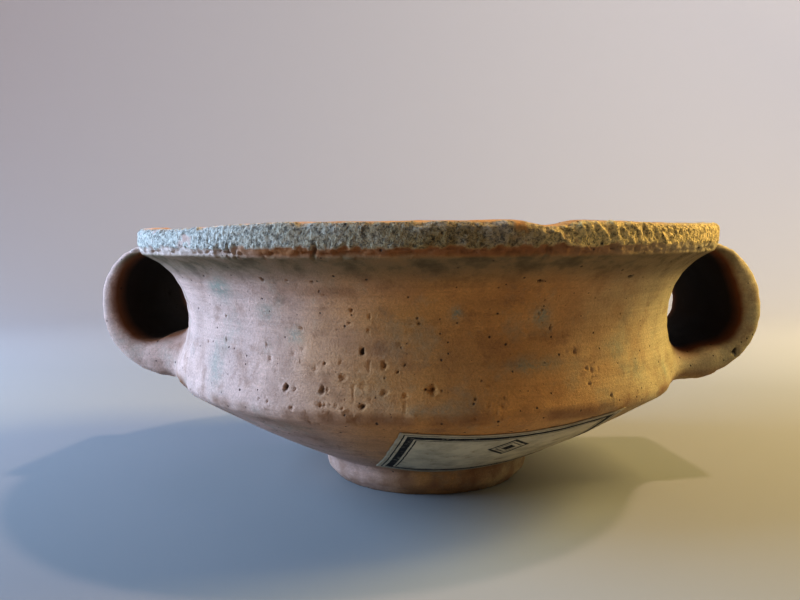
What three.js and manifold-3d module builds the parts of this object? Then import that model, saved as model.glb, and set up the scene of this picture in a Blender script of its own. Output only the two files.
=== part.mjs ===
// A two-handled drinking cup, a stemless kylix, in fired clay: a low ring foot, a shallow belly, a
// shoulder ring, a wall that draws in and then flares to a flat lip, and two broad strap handles.
// Foot, bowl and handles were joined wet and fired as one. A blank paper label is pasted under
// the shoulder. Millimetres, +Z up, origin at the centre of the foot's resting ring.
// An azimuth turns about +Z from the front of the cup, which is -Y, towards +X.

import * as THREE from "three";
import { mergeVertices } from "three/addons/utils/BufferGeometryUtils.js";
import Module from "manifold-3d";

const wasm = await Module();
wasm.setup();

// The cup's overall sizes.
const height = 62.8;
const rimRadius = 70;
const shoulderRadius = 61;
const shoulderHeight = 25.6;
const wallThickness = 5.2;

// The lip is a flat band round the rim. Its outer edges are worn round.
const lipHeight = 6;
const lipWidth = 4.6;
const lipWear = 0.9;

// The wall draws in from the shoulder and flares out to the lip, on a curve steered by two points,
// each so far inside the shoulder's radius and so far from its own end of the wall.
const drawInLow = { inside: 2.6, above: 12 };
const drawInHigh = { inside: 4.2, below: 5.6 };

// The belly runs almost straight from the foot to the shoulder, whose edge is rounded off.
const bellyBulge = 0.7;
const shoulderRounding = 2;
const insideRounding = 2.6;
const floorSweep = 10; // how far up the belly the hollow's rounded floor reaches

// The ring foot, widest near its top and worn round below, with a recess inside its ring.
const footRadius = 25.8;
const footHeight = 5.8;
const footTuck = 0.5;
const footEdge = 2.6;
const restingRingWidth = 2.6;
const recessDepth = 2.6;
const floorThickness = 5.8;

// A strap handle: how far it stands out past the lip, and how thick and wide its strip is.
// Each handle sits a few degrees behind the cup's middle line, by its own amount.
const handleStandOut = 12;
const handleSetBack = { right: 9, left: 10 };
const strapWidth = 39;
const strapThickness = 5.4;
const strapRootThickness = 8.4;
const strapRootFlare = 4;
const strapSpringThickness = 4;
const strapSquareness = 3.4; // 2 makes the strip's section an ellipse, and more squares it up

// The label, a rectangle on the belly unrolled flat, slanted a few degrees anticlockwise.
const labelWidth = 47;
const labelHeight = 32;
const labelThickness = 0.3;
const labelGap = 0.2;
const labelClearOfFoot = 2.5;
const labelAzimuth = 21;
const labelSlant = 7;

// Wear that has broken down the lip's upper edge: middle and half width in degrees, and depth.
const lipChips = [
  { azimuth: -56, spread: 38, depth: 0.8 },
  { azimuth: 18.5, spread: 5, depth: 0.9 },
  { azimuth: 52, spread: 30, depth: 0.5 },
  { azimuth: 118, spread: 8, depth: 1.1 },
  { azimuth: 163, spread: 15, depth: 0.6 },
  { azimuth: 214, spread: 7, depth: 1.3 },
  { azimuth: 262, spread: 9, depth: 0.7 },
];

// Fineness of the mesh.
const turnSteps = 76;
const curveSteps = { belly: 5, wall: 9, corner: 2, floor: 4 };
const strapSides = 16;
const strapSteps = 22;
const labelSteps = { along: 12, down: 8 };
const weld = 1e-4;

const { degToRad, radToDeg, euclideanModulo, lerp, smoothstep } = THREE.MathUtils;
const point = (radius, z) => new THREE.Vector2(radius, z);
const lipBottom = height - lipHeight;
const lipInside = rimRadius - lipWidth;

// Turns a closed geometry into a solid: shared corners welded, collapsed triangles dropped.
function solidFrom(geometry) {
  geometry.deleteAttribute("normal");
  geometry.deleteAttribute("uv");
  const welded = mergeVertices(geometry, weld);
  const corners = welded.index.array;
  const kept = [];
  for (let i = 0; i < corners.length; i += 3) {
    const [a, b, c] = corners.slice(i, i + 3);
    if (a !== b && b !== c && c !== a) kept.push(a, b, c);
  }
  const mesh = new wasm.Mesh({
    numProp: 3,
    vertProperties: welded.attributes.position.array,
    triVerts: new Uint32Array(kept),
  });
  return new wasm.Manifold(mesh);
}

function geometryFrom(solid) {
  const mesh = solid.getMesh();
  const geometry = new THREE.BufferGeometry();
  geometry.setAttribute("position", new THREE.BufferAttribute(mesh.vertProperties, 3));
  geometry.setIndex(new THREE.BufferAttribute(mesh.triVerts, 1));
  geometry.computeVertexNormals();
  return geometry;
}

// A profile of (radius, height) points turned about the cup's axis, as on a potter's wheel.
function thrown(profile) {
  return new THREE.LatheGeometry(profile, turnSteps).rotateX(Math.PI / 2);
}

// Points on a curve from one share of it to another, pushed sideways to the left of its run.
function runOf(curve, from, to, steps, push = 0) {
  return Array.from({ length: steps + 1 }, (_, i) => {
    const share = from + ((to - from) * i) / steps;
    const at = curve.getPoint(share);
    const along = curve.getTangent(share);
    return point(at.x - along.y * push, at.y + along.x * push);
  });
}

// The belly, from the top of the foot to the corner of the shoulder.
const footTop = point(footRadius - footTuck, footHeight);
const shoulder = point(shoulderRadius, shoulderHeight);
const bellyRun = shoulder.clone().sub(footTop);
const bellySlope = Math.atan2(bellyRun.y, bellyRun.x);
const bellyDown = point(Math.sin(bellySlope), -Math.cos(bellySlope));
const bellyMiddle = footTop.clone().lerp(shoulder, 0.5).addScaledVector(bellyDown, 2 * bellyBulge);
const belly = new THREE.QuadraticBezierCurve(footTop, bellyMiddle, shoulder);

// Where the belly stops outside for the shoulder's rounding, and inside, one wall further in.
const shoulderShare = 1 - shoulderRounding / bellyRun.length();
const insideCorner = wallThickness * Math.tan((Math.PI / 2 - bellySlope) / 2) + insideRounding;
const insideShare = 1 - insideCorner / bellyRun.length();

// The wall, from above the shoulder's rounded corner to the lip's lower edge.
const wallStart = point(shoulderRadius - 0.15 * shoulderRounding, shoulderHeight + shoulderRounding);
const wallEnd = point(rimRadius - lipWear, lipBottom - 0.4 * lipWear);
const wall = new THREE.CubicBezierCurve(
  wallStart,
  point(shoulderRadius - drawInLow.inside, shoulderHeight + drawInLow.above),
  point(shoulderRadius - drawInHigh.inside, lipBottom - drawInHigh.below),
  wallEnd,
);

// The outside of the cup as a full solid, filled in up to the lip's top.
function outside() {
  const restingRadius = footRadius - footEdge;
  const recessRadius = restingRadius - restingRingWidth;
  const footCorner = new THREE.QuadraticBezierCurve(
    point(restingRadius, 0),
    point(footRadius, 0),
    point(footRadius, footEdge),
  );
  const profile = [
    point(0, recessDepth),
    point(recessRadius - recessDepth, recessDepth),
    point(recessRadius, 0),
    ...runOf(footCorner, 0, 1, curveSteps.corner),
    point(footRadius, footHeight - footTuck),
    ...runOf(belly, 0, shoulderShare, curveSteps.belly),
    shoulder.clone().lerp(wallStart, 0.3).add(point(-0.1 * shoulderRounding, 0)),
    ...runOf(wall, 0, 1, curveSteps.wall),
    point(rimRadius, lipBottom + 0.6 * lipWear),
    point(rimRadius, height - lipWear),
    point(rimRadius - 0.3 * lipWear, height - 0.3 * lipWear),
    point(rimRadius - lipWear, height),
    point(lipInside - wallThickness, height),
    point(0, height),
  ];
  const geometry = thrown(profile);
  wearLip(geometry);
  return solidFrom(geometry);
}

// Lowers the lip's top where the wear has taken it down.
function wearLip(geometry) {
  const place = geometry.attributes.position;
  for (let i = 0; i < place.count; i++) {
    const onAxis = Math.hypot(place.getX(i), place.getY(i)) < weld;
    if (onAxis || place.getZ(i) < height - 1.1 * lipWear) continue;
    const azimuth = radToDeg(Math.atan2(place.getX(i), -place.getY(i)));
    const loss = lipChips.reduce((sum, chip) => {
      const away = Math.abs(euclideanModulo(azimuth - chip.azimuth + 180, 360) - 180);
      return sum + chip.depth * smoothstep(1 - away / chip.spread, 0, 1);
    }, 0);
    place.setZ(i, place.getZ(i) - loss);
  }
}

// The hollow of the bowl, one wall's thickness inside the outside, and open above the lip.
function hollow() {
  const floorTop = recessDepth + floorThickness;
  const floorLevel = (floorTop - footHeight - wallThickness * Math.cos(bellySlope)) / bellyRun.y;
  const floorShare = floorLevel + floorSweep / bellyRun.length();
  const inBelly = runOf(belly, floorShare, insideShare, curveSteps.belly, wallThickness);
  const inWall = runOf(wall, insideCorner / (lipBottom - shoulderHeight), 1, curveSteps.wall, wallThickness);
  const floorEnd = inBelly[0];
  const floorTurn = point(floorEnd.x - (floorEnd.y - floorTop) / Math.tan(bellySlope), floorTop);
  const floor = new THREE.QuadraticBezierCurve(point(0, floorTop), floorTurn, floorEnd);
  const profile = [
    ...runOf(floor, 0, 1, curveSteps.floor).slice(0, -1),
    ...inBelly,
    ...inWall.filter((at) => at.x < lipInside && at.y < height),
    point(lipInside, height),
    point(lipInside, height + lipHeight),
    point(0, height + lipHeight),
  ];
  return solidFrom(thrown(profile));
}

// One strap handle, standing off the +X side: it springs from the lip's lower edge, bends round
// and lands on the shoulder. Each station gives the strip's middle, its width and its thickness.
function strap() {
  const reach = rimRadius + handleStandOut - strapThickness / 2;
  const flared = strapWidth + strapRootFlare;
  const loopHeight = lipBottom - shoulderHeight;
  const fromShoulder = (share) => lerp(shoulderRadius, reach, share);
  const upLoop = (share) => shoulderHeight + share * loopHeight;
  const stations = [
    [lipInside, upLoop(1.02), strapWidth, strapSpringThickness],
    [rimRadius, upLoop(0.98), strapWidth, strapSpringThickness],
    [fromShoulder(0.88), upLoop(0.82), strapWidth, strapThickness],
    [reach, upLoop(0.5), strapWidth, strapThickness],
    [fromShoulder(0.83), upLoop(0.22), strapWidth, 1.1 * strapThickness],
    [fromShoulder(0.44), upLoop(0.1), strapWidth + 0.4 * strapRootFlare, strapRootThickness],
    [fromShoulder(0.14), upLoop(0.08), flared, 0.9 * strapRootThickness],
    [shoulderRadius - 0.7 * wallThickness, upLoop(0.05), flared, strapRootThickness],
  ];
  const middle = new THREE.CatmullRomCurve3(stations.map(([r, z]) => new THREE.Vector3(r, 0, z)));
  const section = new THREE.CatmullRomCurve3(stations.map(([, , w, t]) => new THREE.Vector3(w, t, 0)));
  const geometry = new THREE.CylinderGeometry(1, 1, 1, strapSides, strapSteps);
  const place = geometry.attributes.position;
  const squared = (x) => Math.sign(x) * Math.abs(x) ** (2 / strapSquareness);
  for (let i = 0; i < place.count; i++) {
    const share = place.getY(i) + 0.5;
    const at = middle.getPoint(share);
    const along = middle.getTangent(share);
    const { x: width, y: thickness } = section.getPoint(share);
    const across = (squared(place.getX(i)) * width) / 2;
    const out = (squared(place.getZ(i)) * thickness) / 2;
    place.setXYZ(i, at.x + along.z * out, across, at.z - along.x * out);
  }
  return solidFrom(geometry);
}

function cup() {
  const handle = strap();
  const solid = outside()
    .add(handle.rotate([0, 0, handleSetBack.right]))
    .add(handle.rotate([0, 0, 180 - handleSetBack.left]))
    .subtract(hollow());
  const clay = new THREE.MeshStandardMaterial({ color: 0xb98d72, roughness: 0.92, metalness: 0 });
  const mesh = new THREE.Mesh(geometryFrom(solid), clay);
  mesh.name = "kylix_cup";
  return mesh;
}

// The paper label: a thin slab rolled onto the belly, just clear of the clay. The belly is a cone
// that unrolls flat round the tip where it would close, and its turn narrows as it does.
function label() {
  const narrowing = Math.cos(bellySlope);
  const lowerEdge = footTop.x / narrowing + labelClearOfFoot;
  const tip = point(0, -(lowerEdge + labelHeight / 2) / Math.cos(degToRad(labelSlant)));
  const geometry = new THREE.BoxGeometry(
    labelWidth,
    labelHeight,
    labelThickness,
    labelSteps.along,
    labelSteps.down,
    1,
  );
  const place = geometry.attributes.position;
  const flat = new THREE.Vector2();
  for (let i = 0; i < place.count; i++) {
    flat.set(place.getX(i), place.getY(i)).rotateAround(point(0, 0), degToRad(labelSlant));
    flat.sub(tip);
    const fromTip = flat.length();
    const azimuth = degToRad(labelAzimuth) + Math.atan2(flat.x, flat.y) / narrowing;
    const share = (fromTip * narrowing - footTop.x) / bellyRun.x;
    const lift = labelGap + labelThickness / 2 + place.getZ(i);
    const [at] = runOf(belly, share, share, 1, -lift);
    place.setXYZ(i, at.x * Math.sin(azimuth), -at.x * Math.cos(azimuth), at.y);
  }
  const paper = new THREE.MeshStandardMaterial({ color: 0xd9d2c0, roughness: 0.85, metalness: 0 });
  const mesh = new THREE.Mesh(geometryFrom(solidFrom(geometry)), paper);
  mesh.name = "paper_label";
  return mesh;
}

const kylix = new THREE.Group();
kylix.add(cup(), label());

export default kylix;
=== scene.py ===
import math
import random

import bmesh
import bpy
import numpy as np
from mathutils import Matrix, Vector, geometry, noise
from mathutils.bvhtree import BVHTree
from mathutils.kdtree import KDTree


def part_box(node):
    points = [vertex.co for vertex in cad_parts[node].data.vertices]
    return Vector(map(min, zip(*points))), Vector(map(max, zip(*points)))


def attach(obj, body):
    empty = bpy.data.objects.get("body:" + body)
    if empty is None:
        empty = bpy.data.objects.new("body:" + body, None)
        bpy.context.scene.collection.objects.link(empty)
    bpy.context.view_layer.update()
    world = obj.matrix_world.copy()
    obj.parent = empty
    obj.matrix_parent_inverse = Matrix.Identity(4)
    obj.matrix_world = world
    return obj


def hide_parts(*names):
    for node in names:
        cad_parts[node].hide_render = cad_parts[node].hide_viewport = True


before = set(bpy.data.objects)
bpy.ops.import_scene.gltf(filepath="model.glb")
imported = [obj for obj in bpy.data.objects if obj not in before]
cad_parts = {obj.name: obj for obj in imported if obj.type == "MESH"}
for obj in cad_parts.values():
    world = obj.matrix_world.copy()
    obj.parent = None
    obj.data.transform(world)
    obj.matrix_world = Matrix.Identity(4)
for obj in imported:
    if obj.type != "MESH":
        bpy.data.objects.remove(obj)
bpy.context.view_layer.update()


# The bowl, with its lip and foot. One body of clay, thrown on the wheel and turned below, with a
# low ring foot, a sharp shoulder, and a wall that draws in before it flares to a flat lip.
# Everything about the cup is worked in millimetres and made metres once, when it is finished.
MM = 0.001
cup_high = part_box("kylix_cup")[1]
lip_radius = cup_high.y / MM
lip_top = cup_high.z / MM
lip_height = 6.0
lip_width = 4.6
lip_bottom = lip_top - lip_height
lip_inside = lip_radius - lip_width
wall_thickness = 5.2
shoulder_radius = 61.0
shoulder_height = 25.6
shoulder_rounding = 1.6
foot_radius = 25.8
foot_height = 5.8
foot_edge = 2.6
resting_radius = foot_radius - foot_edge
recess_radius = 20.6
recess_depth = 2.6
floor_height = 8.4
turn_steps = 240


def at(radius, height):
    return Vector((radius, 0, height))


def arc(start, steer_start, steer_end, end, steps):
    return geometry.interpolate_bezier(start, steer_start, steer_end, end, steps)


def pushed_in(path, distance):
    """The same path, moved sideways to its left, as the inside of a wall is to its outside."""
    moved = []
    for i, here in enumerate(path):
        along = (path[min(i + 1, len(path) - 1)] - path[max(i - 1, 0)]).normalized()
        moved.append(here + Vector((-along.z, 0, along.x)) * distance)
    return moved


foot_side = arc(
    at(resting_radius, 0),
    at(foot_radius - 0.6, 0),
    at(foot_radius, 1.4),
    at(foot_radius, foot_height - 0.6),
    8,
)
belly = arc(
    at(foot_radius - 0.7, foot_height + 0.1),
    at(37.6, 11.5),
    at(49.6, 18.1),
    at(shoulder_radius, shoulder_height),
    36,
)
wall = arc(
    at(shoulder_radius - 0.2, shoulder_height + shoulder_rounding),
    at(shoulder_radius - 2.6, shoulder_height + 12),
    at(shoulder_radius - 4.2, lip_bottom - 5.6),
    at(lip_radius - 0.7, lip_bottom - 0.3),
    40,
)
lip = [
    at(lip_radius, lip_bottom + 0.6),
    at(lip_radius, lip_top - 0.7),
    at(lip_radius - 0.7, lip_top),
    at(lip_inside + 0.8, lip_top),
    at(lip_inside, lip_top - 0.8),
]
inner_wall = [p for p in pushed_in(wall, wall_thickness)[3:] if p.x < lip_inside and p.z < lip_top - 1]
inner_belly = [p for p in pushed_in(belly, wall_thickness)[4:] if p.x < inner_wall[0].x - 1]
bowl_floor = arc(
    inner_belly[0],
    inner_belly[0] - (inner_belly[1] - inner_belly[0]).normalized() * 8,
    at(9, floor_height),
    at(0, floor_height),
    14,
)
outline = [
    at(0, recess_depth + 0.4),
    at(recess_radius - 4, recess_depth),
    at(recess_radius - 0.6, 0.8),
    at(recess_radius, 0),
    *foot_side,
    *belly[:-1],
    *wall,
    *lip,
    *reversed(inner_wall),
    *reversed(inner_belly),
    *bowl_floor[1:],
]

clay_mesh = bmesh.new()
turned = [clay_mesh.verts.new(p) for p in outline]
turned += [clay_mesh.edges.new(pair) for pair in zip(turned, turned[1:])]
bmesh.ops.spin(
    clay_mesh,
    geom=turned,
    cent=(0, 0, 0),
    axis=(0, 0, 1),
    angle=math.tau,
    steps=turn_steps,
    use_merge=True,
    use_duplicate=False,
)
bmesh.ops.remove_doubles(clay_mesh, verts=clay_mesh.verts, dist=1e-4)
bmesh.ops.recalc_face_normals(clay_mesh, faces=clay_mesh.faces)
thrown_surface = BVHTree.FromBMesh(clay_mesh)


# The two handles. Each is a broad strap pulled from a roll of clay, bent over a finger, luted
# under the lip and pressed down on the shoulder, where the thumb left it thicker and wider.
# The right one is set a little behind the middle line of the cup, and the left one a little more.
strap_width = 39.5
strap_sides = 48
strap_steps = 60
strap_squareness = 6.0
right_turn = 9
left_turn = 180 - 10
thumb_sink = 3.4
handle_reach = cup_high.x / MM - 1.0
right_stations = [
    (lip_inside + 0.6, lip_bottom + 1.2, strap_width, 3.2),
    (lip_radius - 0.4, lip_bottom + 0.1, strap_width, 3.2),
    (handle_reach - 9.0, lip_bottom - 1.9, strap_width, 4.2),
    (handle_reach - 6.0, lip_bottom - 6.0, strap_width, 6.0),
    (handle_reach - 4.0, lip_bottom - 10.6, strap_width, 6.8),
    (handle_reach - 3.2, lip_bottom - 16.0, strap_width, 6.4),
    (handle_reach - 4.1, shoulder_height + 11.2, strap_width, 6.4),
    (handle_reach - 6.4, shoulder_height + 7.6, strap_width, 6.8),
    (handle_reach - 10.4, shoulder_height + 4.9, strap_width + 0.6, 7.6),
    (handle_reach - 15.6, shoulder_height + 3.4, strap_width + 2.2, 8.6),
    (shoulder_radius + 0.6, shoulder_height + 2.4, strap_width + 4.0, 7.8),
    (shoulder_radius - 3.2, shoulder_height + 2.2, strap_width + 4.6, 7.4),
]
left_stations = [
    (lip_inside + 0.6, lip_bottom + 1.2, strap_width, 3.0),
    (lip_radius - 0.4, lip_bottom + 0.4, strap_width, 3.0),
    (handle_reach - 8.4, lip_bottom - 1.6, strap_width, 3.4),
    (handle_reach - 4.9, lip_bottom - 5.6, strap_width, 4.0),
    (handle_reach - 3.4, lip_bottom - 10.6, strap_width, 4.8),
    (handle_reach - 3.7, lip_bottom - 16.0, strap_width, 5.6),
    (handle_reach - 5.4, shoulder_height + 10.6, strap_width, 6.6),
    (handle_reach - 8.6, shoulder_height + 7.2, strap_width, 7.2),
    (handle_reach - 12.8, shoulder_height + 5.0, strap_width + 0.6, 8.4),
    (handle_reach - 17.4, shoulder_height + 4.4, strap_width + 2.2, 10.2),
    (shoulder_radius + 0.6, shoulder_height + 4.8, strap_width + 3.4, 12.0),
    (shoulder_radius - 3.2, shoulder_height + 5.2, strap_width + 4.0, 12.4),
]


def rounded_path(stations, share):
    """A smooth curve through stations, each a tuple of numbers, read at a share of its length."""
    place = share * (len(stations) - 1)
    i = min(int(place), len(stations) - 2)
    t = place - i
    a, b, c, d = (np.array(stations[min(max(k, 0), len(stations) - 1)], float) for k in range(i - 1, i + 3))
    return 0.5 * (2 * b + (c - a) * t + (2 * a - 5 * b + 4 * c - d) * t**2 + (3 * b - a - 3 * c + d) * t**3)


def strap(turn, stations):
    """Adds a strap, its middle at turn degrees. A station is a radius, height, width and thickness."""
    turned_out = Matrix.Rotation(math.radians(turn), 4, "Z")
    rings = []
    for step in range(strap_steps + 1):
        share = step / strap_steps
        radius, height, across, thick = rounded_path(stations, share)
        ahead = rounded_path(stations, min(share + 0.01, 1))
        behind = rounded_path(stations, max(share - 0.01, 0))
        lean = math.atan2(ahead[1] - behind[1], ahead[0] - behind[0])
        ring = bmesh.ops.create_circle(clay_mesh, segments=strap_sides, radius=1)["verts"]
        placed = turned_out @ Matrix.Translation((radius, 0, height)) @ Matrix.Rotation(-lean, 4, "Y")
        for vertex in ring:
            a, b = (math.copysign(abs(c) ** (2 / strap_squareness), c) for c in vertex.co.xy)
            vertex.co = placed @ Vector((0, a * across / 2, b * thick / 2))
        rings.append(ring)
    loops = [{edge for vertex in ring for edge in vertex.link_edges} for ring in rings]
    for one, other in zip(loops, loops[1:]):
        bmesh.ops.bridge_loops(clay_mesh, edges=list(one | other))
    for end in (rings[0], rings[-1]):
        bmesh.ops.contextual_create(clay_mesh, geom=end)
    shell = {face for ring in rings for vertex in ring for face in vertex.link_faces}
    bmesh.ops.recalc_face_normals(clay_mesh, faces=list(shell))


def round_the_cup(azimuth, radius, height):
    """A place at an azimuth in degrees, counted from the front of the cup towards its right."""
    turn = math.radians(azimuth)
    return Vector((radius * math.sin(turn), -radius * math.cos(turn), height))


def thumbed(azimuth, height, along, out, tall):
    """Adds a smear of clay that the thumb leaves where a strap meets the shoulder."""
    middle = round_the_cup(azimuth, shoulder_radius - thumb_sink, height)
    turned = Matrix.Rotation(math.radians(azimuth), 4, "Z")
    placed = Matrix.Translation(middle) @ turned @ Matrix.Diagonal((along, out, tall, 1))
    bmesh.ops.create_uvsphere(clay_mesh, u_segments=32, v_segments=20, radius=1, matrix=placed)


strap(right_turn, right_stations)
strap(left_turn, left_stations)
thumbed(77, shoulder_height + 2.8, 12.0, 5.0, 5.4)
thumbed(-77, shoulder_height + 2.2, 13.0, 5.4, 6.2)


# The joints are smoothed over while the clay is wet, so bowl and straps become one skin. The skin
# is made of even faces, and is finer on the lip and round each pit, where there is more to see.
skin_face = 1.3
smoothing_rounds = 3
joint_azimuth = 76
joint_rise = 5
joint_reach = 11
joint_depth = 3.5
joint_rounds = 36


def baked(maker, name):
    """The mesh that an object's modifiers give, with the modifiers themselves left behind."""
    bpy.context.scene.collection.objects.link(maker)
    settled = maker.evaluated_get(bpy.context.evaluated_depsgraph_get())
    mesh = bpy.data.meshes.new_from_object(settled)
    mesh.name = name
    bpy.data.objects.remove(maker)
    return mesh


rough_mesh = bpy.data.meshes.new("bowl and straps")
clay_mesh.to_mesh(rough_mesh)
clay_mesh.free()
joiner = bpy.data.objects.new("joining", rough_mesh)
skin = joiner.modifiers.new("one skin", "REMESH")
skin.mode = "VOXEL"
skin.voxel_size = skin_face
skinned = baked(joiner, "skin")
clay = bmesh.new()
clay.from_mesh(skinned)
for _ in range(smoothing_rounds):
    bmesh.ops.smooth_vert(
        clay, verts=clay.verts, factor=0.5, use_axis_x=True, use_axis_y=True, use_axis_z=True
    )
joint_middles = [
    round_the_cup(side * joint_azimuth, shoulder_radius, shoulder_height + joint_rise) for side in (-1, 1)
]
at_joints = [
    vertex
    for vertex in clay.verts
    if vertex.co.xy.length > shoulder_radius - joint_depth
    and min((vertex.co - middle).length for middle in joint_middles) < joint_reach
]
for _ in range(joint_rounds):
    bmesh.ops.smooth_vert(
        clay, verts=at_joints, factor=0.5, use_axis_x=True, use_axis_y=True, use_axis_z=True
    )


# Pits, gouges and lost grit. Those on the front are placed as they lie there: the azimuth from
# the front in degrees, the height, then how wide, how tall and how deep. A crumbled spot is a
# small crowd of pits. The rest are strewn, thickest low on the wall at the front and left.
placed_pits = [
    (-27.0, 30.8, 1.2, 1.7, 0.9),
    (-24.5, 36.1, 1.0, 1.0, 0.8),
    (-11.8, 39.5, 0.8, 1.5, 0.8),
    (4.3, 39.0, 0.8, 0.9, 0.7),
    (-1.2, 43.6, 0.7, 0.6, 0.55),
    (-2.4, 43.2, 1.2, 0.4, 0.25),
    (-4.6, 35.9, 0.6, 0.7, 0.6),
    (-4.0, 36.8, 0.6, 0.6, 0.6),
    (-11.7, 28.8, 1.2, 1.3, 0.65),
    (-7.6, 37.1, 1.0, 2.2, 0.5),
    (-19.3, 31.9, 1.3, 2.2, 0.55),
    (-14.6, 34.2, 1.6, 1.5, 0.45),
    (-6.9, 31.4, 1.6, 1.5, 0.45),
    (0.8, 32.4, 1.9, 2.3, 0.45),
    (-19.4, 34.8, 0.6, 0.8, 0.4),
    (-18.9, 36.3, 0.6, 0.9, 0.55),
    (-10.5, 36.7, 0.5, 2.6, 0.22),
    (-10.1, 42.7, 0.6, 1.2, 0.4),
    (-13.6, 43.9, 0.7, 0.5, 0.5),
    (-12.8, 31.4, 0.5, 3.6, 0.2),
    (-11.2, 32.3, 1.4, 2.1, 0.15),
    (-3.4, 31.4, 1.0, 1.1, 0.3),
    (-3.8, 29.4, 0.5, 3.4, 0.18),
    (-16.0, 36.5, 0.5, 1.1, 0.2),
    (-24.9, 26.9, 1.3, 1.0, 0.5),
    (-21.5, 27.7, 1.1, 1.0, 0.25),
    (-13.2, 27.4, 2.6, 0.8, 0.4),
    (8.6, 30.8, 0.6, 0.6, 0.55),
    (-30.4, 36.9, 0.9, 0.7, 0.5),
    (-17.6, 41.6, 0.6, 0.6, 0.5),
    (-10.1, 30.7, 0.6, 0.8, 0.3),
    (39.4, 52.9, 1.5, 0.8, 0.75),
    (19.3, 52.0, 1.2, 0.6, 0.75),
    (23.3, 42.2, 0.6, 1.1, 0.6),
    (7.2, 46.2, 1.0, 1.3, 0.2),
    (29.3, 37.7, 0.8, 1.0, 0.5),
    (37.8, 29.3, 0.7, 0.8, 0.55),
    (-29.1, 52.7, 0.7, 1.2, 0.6),
    (-27.6, 51.8, 0.5, 0.9, 0.3),
    (-23.8, 53.3, 0.6, 0.7, 0.4),
    (-19.3, 52.0, 0.8, 0.5, 0.6),
    (-13.2, 45.9, 0.5, 0.8, 0.5),
    (-9.8, 45.3, 0.6, 0.9, 0.45),
    (-43.6, 43.8, 0.5, 0.7, 0.55),
    (-44.5, 39.4, 0.5, 0.9, 0.5),
    (-31.8, 38.6, 0.5, 1.0, 0.5),
    (-52.3, 37.6, 0.5, 0.9, 0.5),
    (-17.7, 48.5, 0.6, 0.6, 0.45),
    (14.6, 31.0, 0.5, 0.6, 0.5),
    (32.2, 31.6, 0.6, 0.6, 0.5),
]
crumbled_spots = [
    (-17.4, 27.6, 2.2, 12),
    (21.5, 45.3, 1.3, 8),
    (32.7, 34.0, 1.6, 6),
    (1.2, 31.8, 1.4, 4),
    (-20.5, 22.6, 1.6, 4),
    (12.0, 30.0, 3.4, 5),
    (-33.0, 29.5, 3.0, 6),
]
crumb_across, crumb_tall, crumb_depth = (0.4, 0.8), (0.4, 0.9), (0.18, 0.45)
strewn_pits = 260
strewn_tall, strewn_depth = (0.8, 1.9), (0.15, 0.5)
strewn_azimuth, strewn_height = -12, 34
pit_seed = 11
front_azimuth, band_azimuth = 62, 76
thrown_gap = 0.9
joint_core, joint_blend = 7.2, 6.0


def azimuth_of(point):
    return math.degrees(math.atan2(point.x, -point.y))


def on_wall(azimuth, height):
    """The middle of the skin's face nearest to a place on the outside of the wall."""
    return face_tree.find(round_the_cup(azimuth, shoulder_radius + 1, height))[0]


clay.faces.ensure_lookup_table()
face_middles = [face.calc_center_median() for face in clay.faces]
face_tree = KDTree(len(face_middles))
for i, middle in enumerate(face_middles):
    face_tree.insert(middle, i)
face_tree.balance()
chance = random.Random(pit_seed)
pits = [(on_wall(azimuth, height), *sizes) for azimuth, height, *sizes in placed_pits]
for azimuth, height, spread, count in crumbled_spots:
    for _ in range(count):
        aside = math.degrees(chance.gauss(0, spread / 2) / shoulder_radius)
        middle = on_wall(azimuth + aside, height + chance.gauss(0, spread / 2))
        sizes = [chance.uniform(*limits) for limits in (crumb_across, crumb_tall, crumb_depth)]
        pits.append((middle, *sizes))
placed_count = len(pits)
handle_pit = Vector((75.6, -5.2, 31.4))
pits.append((face_tree.find(handle_pit)[0], 2.0, 2.3, 1.2))
while len(pits) < placed_count + strewn_pits:
    face = chance.choice(clay.faces)
    middle = face_middles[face.index]
    aside, above = azimuth_of(middle) - strewn_azimuth, middle.z - strewn_height
    front = math.exp(-((aside / 26) ** 2) - (above / 9) ** 2)
    outside = face.normal.xy.dot(middle.xy) > 0 and middle.z > foot_height
    likely = 0.10 + 0.90 * front if outside else 0.05
    on_band = middle.xy.length > lip_radius - 2 and middle.z > lip_bottom
    if on_band or chance.random() > likely:
        continue
    across = 0.4 + 0.4 * chance.random() ** 3
    pits.append((middle, across, across * chance.uniform(*strewn_tall), chance.uniform(*strewn_depth)))

near_pits, near_strewn, near_hidden = set(), set(), set()
for i, (middle, across, tall, _) in enumerate(pits):
    in_front = abs(azimuth_of(middle)) < front_azimuth and middle.xy.length > shoulder_radius - 5
    near = near_pits if i < placed_count else near_strewn if in_front else near_hidden
    for _, index, _ in face_tree.find_range(middle, max(across, tall) / 2 + 0.42 * skin_face):
        near.add(clay.faces[index])
near_strewn -= near_pits
near_hidden -= near_pits | near_strewn
on_lip = set()
on_band = set()
for face, middle in zip(clay.faces, face_middles):
    out = middle.xy.length
    if middle.z > lip_bottom - 1.5 and out > lip_inside - 0.5:
        in_sight = abs(azimuth_of(middle)) < band_azimuth and out > lip_radius - 1.8
        (on_band if in_sight else on_lip).add(face)
finest = on_band | near_pits
finer = near_strewn - finest
fine = (on_lip | near_hidden) - finer - finest
for chosen, cuts in ((fine, 1), (finer, 2), (finest, 3)):
    edges = [edge for edge in clay.edges if not chosen.isdisjoint(edge.link_faces)]
    bmesh.ops.subdivide_edges(clay, edges=edges, cuts=cuts, use_grid_fill=True)

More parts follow.
